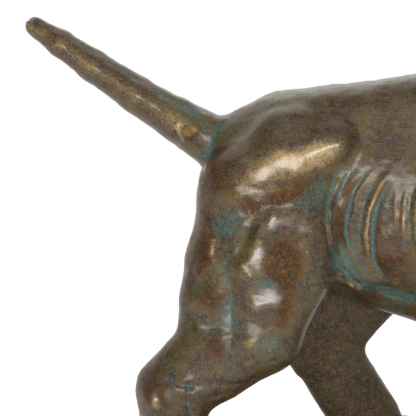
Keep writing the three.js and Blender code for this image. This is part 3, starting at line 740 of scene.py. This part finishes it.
# Plinth: the slab of the frame, with an uneven top that rises a little round the paws
plinth = {
    "corner": 34.0, "edge": 5.0, "step": 2.6, "margin": 2.5, "uneven": (34.0, 0.5, 31),
    "worked": (9.0, 0.22, 32), "sink": 0.35, "mound": 1.5, "moundReach": 16.0, "pawLength": 36.0,
    "pawWidth": 30.0, "pawForward": 4, "evenRounds": 6, "teal": 0.3,
}
pawSpots = [(leg["paw"][0] + plinth["pawForward"], leg["paw"][1] * leg["side"])
            for leg in hindLegs + forelegs]


def plinthAt(points):
    halfLong, halfWide = plinthHigh.x / mm, plinthHigh.y / mm
    middle, halfHigh = (plinthHigh.z + plinthLow.z) / 2 / mm, (plinthHigh.z - plinthLow.z) / 2 / mm
    corner, edge = plinth["corner"], plinth["edge"]
    qx = np.abs(points[:, 0]) - halfLong + corner
    qy = np.abs(points[:, 1]) - halfWide + corner
    flat = np.hypot(np.maximum(qx, 0), np.maximum(qy, 0)) + np.minimum(np.maximum(qx, qy), 0) - corner
    tall = np.abs(points[:, 2] - middle) - halfHigh
    a, b = flat + edge, tall + edge
    return np.hypot(np.maximum(a, 0), np.maximum(b, 0)) + np.minimum(np.maximum(a, b), 0) - edge


def plinthRelief(points, normals):
    top = np.clip(normals[:, 2], 0, 1)
    under = np.clip(-normals[:, 2] * 3, 0, 1)  # 1 where it faces 20 degrees or more below level
    (size, rise, seed), (size2, rise2, seed2) = plinth["uneven"], plinth["worked"]
    height = rise * noiseAt(points, size, seed) + rise2 * noiseAt(points, size2, seed2)
    height = height - plinth["sink"]
    away = np.full(len(points), farAway)
    for x, y in pawSpots:
        dx = (points[:, 0] - standing[0] - x * share) / plinth["pawLength"]
        dy = (points[:, 1] - y * share) / plinth["pawWidth"]
        away = np.minimum(away, (np.hypot(dx, dy) - 1) * plinth["pawWidth"])
    near = np.clip(1 - away / plinth["moundReach"], 0, 1)
    height += (plinth["mound"] - height) * near * near * (3 - 2 * near) * top
    return height * (1 - under), near * top


def makePlinth():
    low, high = np.array(plinthLow) / mm, np.array(plinthHigh) / mm
    step = plinth["step"]
    margin = plinth["margin"] * step
    axes = [np.arange(low[a] - margin, high[a] + margin + step / 2, step) for a in range(3)]
    mesh = np.stack(np.meshgrid(*axes, indexing="ij"), -1)
    value = plinthAt(mesh.reshape(-1, 3)).reshape(mesh.shape[:3])
    place, faces = surfaceNet(value)
    points = np.stack([np.interp(place[:, a], np.arange(len(axes[a])), axes[a]) for a in range(3)], 1)
    points, normals = settleOn(plinthAt, points)
    height, near = plinthRelief(points, normals)
    points = points + normals * height[:, None]
    hollow = hollowness(points, normals, faces, plinth["evenRounds"])
    print("plinth: net of", len(faces), "faces")
    return meshFrom("bronze_plinth", points, faces,
                    {"hollow": hollow, "dip": near, "teal": plinth["teal"] * near})


# Shader maths: a wire is an output socket, and arithmetic on wires adds Math nodes
class Wire:
    def __init__(self, shader, socket):
        self.shader, self.socket = shader, socket

    def apply(self, operation, *others, clamp=False):
        inputs = {i: value for i, value in enumerate((self,) + others)}
        return self.shader.node("ShaderNodeMath", {"operation": operation, "use_clamp": clamp}, inputs)

    def __add__(self, other):
        return self.apply("ADD", other)

    def __mul__(self, other):
        return self.apply("MULTIPLY", other)

    def __rsub__(self, other):
        return self * -1 + other

    def clamped(self):
        return self.apply("ADD", 0.0, clamp=True)

    def between(self, low, high):  # 0 below low, 1 above high, smooth in between
        settings = {"interpolation_type": "SMOOTHSTEP"}
        return self.shader.node("ShaderNodeMapRange", settings, {0: self, 1: low, 2: high, 3: 0.0, 4: 1.0})


class Shader:
    def __init__(self, name):
        self.material = bpy.data.materials.new(name)
        self.material.use_nodes = True
        self.tree = self.material.node_tree
        self.surface = self.tree.nodes["Principled BSDF"]
        self.place = self.node("ShaderNodeTexCoord", {}, {}, "Object")

    def node(self, kind, settings, inputs, output=0):
        made = self.tree.nodes.new(kind)
        for key, value in settings.items():
            setattr(made, key, value)
        for key, value in inputs.items():
            self.fill(made.inputs[key], value)
        return Wire(self, made.outputs[output])

    def fill(self, socket, value):
        if isinstance(value, Wire):
            self.tree.links.new(value.socket, socket)
        else:
            socket.default_value = value

    def value(self, name):
        return self.node("ShaderNodeAttribute", {"attribute_name": name}, {}, "Fac")

    def noise(self, size, detail, rough, distortion, long=1.0, turn=0.0):  # size in mm, about 0 to 1
        turned = (0, math.radians(turn), 0)
        at = self.node("ShaderNodeMapping", {"vector_type": "TEXTURE"},
                       {"Vector": self.place, "Rotation": turned, "Scale": (long, 1, 1)})
        inputs = {"Vector": at, "Scale": 1 / (size * mm), "Detail": detail, "Roughness": rough,
                  "Distortion": distortion}
        raw = self.node("ShaderNodeTexNoise", {}, inputs)
        return self.node("ShaderNodeMapRange", {"interpolation_type": "LINEAR"}, {0: raw, 1: 0.3, 2: 0.7})

    def spots(self, size):  # distance from scattered points, size mm apart
        return self.node("ShaderNodeTexVoronoi", {}, {"Vector": self.place, "Scale": 1 / (size * mm)})

    def mix(self, mask, one, other):
        return self.node("ShaderNodeMix", {"data_type": "RGBA"}, {0: mask, 6: one, 7: other}, 2)

    def set(self, **inputs):
        for key, value in inputs.items():
            self.fill(self.surface.inputs[key.replace("_", " ")], value)


def sRgb(*screen):  # a colour as read off a screen, made linear
    linear = [c / 255 / 12.92 if c <= 10 else ((c / 255 + 0.055) / 1.055) ** 2.4 for c in screen]
    return (*linear, 1.0)


bronzeColours = {"deep": sRgb(40, 28, 14), "brown": sRgb(98, 66, 26), "olive": sRgb(97, 79, 30),
                 "gold": sRgb(192, 162, 108), "teal": sRgb(44, 78, 74), "palest": sRgb(92, 116, 108),
                 "rust": sRgb(112, 68, 12), "burnt": sRgb(40, 26, 8), "grey": sRgb(82, 90, 90),
                 # the last colour is the pale grain of the painted shade between the legs
                 "betweenShadePale": sRgb(100, 84, 64)}
bronzeNoise = {  # size in mm, detail, roughness and distortion
    "broad": (30, 2, 0.5, 0.0), "cloud": (20, 3, 0.6, 0.8), "mottle": (11, 3, 0.6, 0.5),
    "patch": (4.0, 4, 0.7, 1.2), "tint": (2.4, 4, 0.8, 1.0), "fleck": (1.3, 3, 0.8, 0.8),
    "grain": (0.7, 2, 0.6, 0.0),
}
brushed = {"noise": (1.1, 2, 0.6, 0.0), "long": 9.0, "turns": {"body": 0, "tail": 32, "leg": 90}}  # degrees
bronzeFinish = {"metallic": 0.35, "roughness": 0.36, "wax": 0.42, "waxRoughness": 0.23, "waxIor": 1.5,
                "specular": 0.35, "bump": 0.6, "bumpDepth": 0.5, "specks": 2.6,  # these two in mm
                "speckEdge": (0.05, 0.2), "glintsOffTeal": 0.3}
bronzeSums = {  # how much of each value goes into a sum
    "fine": {"patch": 0.4, "fleck": 0.6},
    "height": {"fleck": 0.5, "grain": 0.25, "specks": 0.3, "patch": 0.35, "streak": 0.3},
    "roughness": {"green": 0.1, "fine": 0.16, "red": 0.1, "inner": 0.3, "polished": -0.08},
    "wax": {"streak": 0.3, "fine": -0.3, "green": -0.1, "red": -0.7, "inner": -0.5, "polished": 0.7},
    "metallic": {"wornAndHighlight": 0.4, "green": -0.25, "inner": -0.3},
}
bronzeMasks = {  # the same, and then the sums at which the mask starts and is full
    "brown": ({"fine": 1.1, "mottle": 0.2}, 0.4, 0.9),
    "olive": ({"broad": 0.5, "mottle": 0.3, "fleck": 0.4}, 0.45, 0.95),
    "film": ({"streak": 0.6, "tint": 0.8}, 0.5, 1.1),
    "wornAndHighlight": ({"rubbedAndHighlight": 0.45, "hollow": -0.7, "dip": -0.3, "fine": 0.7, "broad": 0.2}, 0.6, 1.6),
    "green": ({"hollow": 0.7, "dip": 0.3, "teal": 0.6, "tint": 1.1, "broad": 0.8}, 1.05, 1.75),
    "palest": ({"fleck": 1}, 0.4, 0.9),
    "red": ({"rust": 0.8, "cloud": 0.5, "fine": 1.1, "mottle": 0.3}, 1.2, 1.65),
    "rustier": ({"fine": 1}, 0.4, 0.72),
    # the bright mask places the painted glints
    "bright": ({"patch": 1}, 0.5, 0.8),
    # grain of the painted shade where the legs face each other
    "betweenShadeGrain": ({"fine": 1}, 0.3, 0.8),
}
# legs and inner give the shares of painted shade low on the legs and between the legs
bronzeCover = {"film": 0.35, "gold": 0.85, "teal": 0.85, "rust": 0.85, "specks": 0.6, "legs": 0.4,
               "inner": 0.6}


def bronzeMaterial(name, tealBias=0.0, goldBias=0.0):
    s = Shader(name)
    colours, finish, cover = bronzeColours, bronzeFinish, bronzeCover
    values = {key: s.value(key) for key in ("hollow", "dip", "teal", "rust", "rubbedAndHighlight", "inner", "polished")}
    values.update({key: s.noise(*each) for key, each in bronzeNoise.items()})

    def summed(parts, total=0.0):
        for key, amount in parts.items():
            total = values[key] * amount + total
        return total

    def mask(key, bias=0.0):
        parts, low, high = bronzeMasks[key]
        return summed(parts, bias).between(low, high)

    lieTail, lieLeg = s.value("lieTail"), s.value("lieLeg")
    brush = {part: s.noise(*brushed["noise"], long=brushed["long"], turn=turn)
             for part, turn in brushed["turns"].items()}
    onBody = brush["body"] * (1 - lieTail) * (1 - lieLeg)
    values["streak"] = onBody + brush["tail"] * lieTail + brush["leg"] * lieLeg
    values["fine"] = summed(bronzeSums["fine"])

    # The waxed brown, with an olive cast, a grey film along the brush strokes and gold where it is rubbed;
    # on the bright crests the gold is a painted highlight
    brown = s.mix(mask("brown"), colours["deep"], colours["brown"])
    olive = s.mix(mask("olive"), brown, colours["olive"])
    film = s.mix(mask("film") * cover["film"], olive, colours["grey"])
    values["wornAndHighlight"] = mask("wornAndHighlight", goldBias)
    metal = s.mix(values["wornAndHighlight"] * cover["gold"], film, colours["gold"])

    # Teal in the hollows, then rust, then bright gold specks: painted glints on specks that the bump also
    # raises
    values["green"] = mask("green", tealBias)
    teal = s.mix(mask("palest"), colours["teal"], colours["palest"])
    patina = s.mix(values["green"] * cover["teal"], metal, teal)
    values["red"] = mask("red")
    rusty = s.mix(mask("rustier"), colours["burnt"], colours["rust"])
    rusted = s.mix(values["red"] * cover["rust"], patina, rusty)
    values["specks"] = 1 - s.spots(finish["specks"]).between(*finish["speckEdge"])
    bright = values["specks"] * (values["green"] + finish["glintsOffTeal"]) * mask("bright")
    glinted = s.mix(bright * cover["specks"], rusted, colours["gold"])

    # Painted shade: darker low on the legs, and darker where the legs face each other
    lower = s.mix(lieLeg * (1 - values["fine"]) * cover["legs"], glinted, colours["deep"])
    betweenShade = s.mix(mask("betweenShadeGrain"), colours["deep"], colours["betweenShadePale"])
    colour = s.mix(values["inner"] * cover["inner"], lower, betweenShade)

    height = summed(bronzeSums["height"])
    bump = s.node("ShaderNodeBump", {}, {"Strength": finish["bump"], "Distance": finish["bumpDepth"] * mm,
                                         "Height": height})
    s.set(Base_Color=colour, Normal=bump, Specular_IOR_Level=finish["specular"])
    s.set(Metallic=summed(bronzeSums["metallic"], finish["metallic"]))
    s.set(Roughness=summed(bronzeSums["roughness"], finish["roughness"]))
    s.set(Coat_Weight=summed(bronzeSums["wax"], finish["wax"]).clamped())
    s.set(Coat_Roughness=finish["waxRoughness"], Coat_IOR=finish["waxIor"])
    return s.material


# Camera at the photograph's angle, then floor and lights
camera = {"target": (-153.0, 0.0, 206.0), "pitch": 6.0, "distance": 1.0, "lens": 121.0}


def makeCamera():
    data = bpy.data.cameras.new("camera")
    data.lens = camera["lens"]
    data.sensor_width = 36
    eye = bpy.data.objects.new("camera", data)
    pitch = math.radians(camera["pitch"])
    target = Vector((np.array(camera["target"]) * share + standing) * mm)
    eye.location = target + Vector((0, -math.cos(pitch), math.sin(pitch))) * camera["distance"]
    eye.rotation_euler = (math.pi / 2 - pitch, 0, 0)
    bpy.context.scene.collection.objects.link(eye)
    bpy.context.scene.camera = eye


# The floor ends not far behind the plinth, where its pale edge is lost in the white
paleFloor = {"reach": 12.0, "behind": 1.6, "grey": 0.65, "roughness": 0.8, "glow": 0.5}


def makeFloor():
    mesh = bpy.data.meshes.new("floor")
    reach, behind, grey = paleFloor["reach"], paleFloor["behind"], paleFloor["grey"]
    corners = [(-reach, -reach, 0), (reach, -reach, 0), (reach, behind, 0), (-reach, behind, 0)]
    mesh.from_pydata(corners, [], [(0, 1, 2, 3)])
    floor = bpy.data.objects.new("floor", mesh)
    pale = Shader("pale_floor")
    pale.set(Base_Color=(grey, grey, grey, 1), Roughness=paleFloor["roughness"])
    pale.set(Emission_Color=(1, 1, 1, 1), Emission_Strength=paleFloor["glow"])
    floor.data.materials.append(pale.material)
    bpy.context.scene.collection.objects.link(floor)


lights = {  # place and size in metres, power in watts
    "key": {"at": (0.1, -1.7, 0.37), "size": (1.0, 0.3), "power": 17},
    "fill": {"at": (0.0, -1.2, 1.5), "size": (1.8, 1.2), "power": 8},
    "top": {"at": (0.1, 1.2, 1.6), "size": (1.8, 1.0), "power": 6},
}
lightsAim = (-0.12, 0, 0.2)
studio = {"dim": 0.09, "bright": 1.4, "from": -0.3, "to": 0.55, "seen": 1.0}


def makeLights():
    aim = Vector(lightsAim)
    for name, light in lights.items():
        data = bpy.data.lights.new(name, "AREA")
        data.shape = "RECTANGLE"
        data.size, data.size_y = light["size"]
        data.energy = light["power"]
        lamp = bpy.data.objects.new(name, data)
        lamp.location = light["at"]
        lamp.rotation_mode = "QUATERNION"
        lamp.rotation_quaternion = (aim - lamp.location).to_track_quat("-Z", "Y")
        bpy.context.scene.collection.objects.link(lamp)


def makeStudio():  # a room that is bright behind the hound, dim before it, and white to the camera
    world = bpy.data.worlds.new("studio")
    bpy.context.scene.world = world
    world.use_nodes = True
    nodes, links = world.node_tree.nodes, world.node_tree.links
    place = nodes.new("ShaderNodeTexCoord")
    towards = nodes.new("ShaderNodeVectorMath")
    towards.operation = "DOT_PRODUCT"
    towards.inputs[1].default_value = (0, 1, 0)
    ramp = nodes.new("ShaderNodeMapRange")
    ramp.interpolation_type = "SMOOTHSTEP"
    for key, value in {1: studio["from"], 2: studio["to"], 3: studio["dim"], 4: studio["bright"]}.items():
        ramp.inputs[key].default_value = value
    path = nodes.new("ShaderNodeLightPath")
    seen = nodes.new("ShaderNodeMix")
    seen.inputs[3].default_value = studio["seen"]
    links.new(place.outputs["Generated"], towards.inputs[0])
    links.new(towards.outputs["Value"], ramp.inputs[0])
    links.new(path.outputs["Is Camera Ray"], seen.inputs[0])
    links.new(ramp.outputs[0], seen.inputs[2])
    background = nodes["Background"]
    background.inputs["Color"].default_value = (1, 1, 1, 1)
    links.new(seen.outputs[0], background.inputs["Strength"])


makeCamera()
houndPiece = makeHound()
houndPiece.data.materials.append(bronzeMaterial("patinated_bronze"))
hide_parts("hound")
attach(houndPiece, "root")

plinthPiece = makePlinth()
plinthPiece.data.materials.append(bronzeMaterial("plinth_bronze", tealBias=-0.1, goldBias=-0.2))
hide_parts("plinth")
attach(plinthPiece, "root")

makeFloor()
makeLights()
makeStudio()
print("studio: floor,", len(lights), "lights and room")
bpy.context.scene.view_settings.view_transform = "Standard"

print("scene: made")
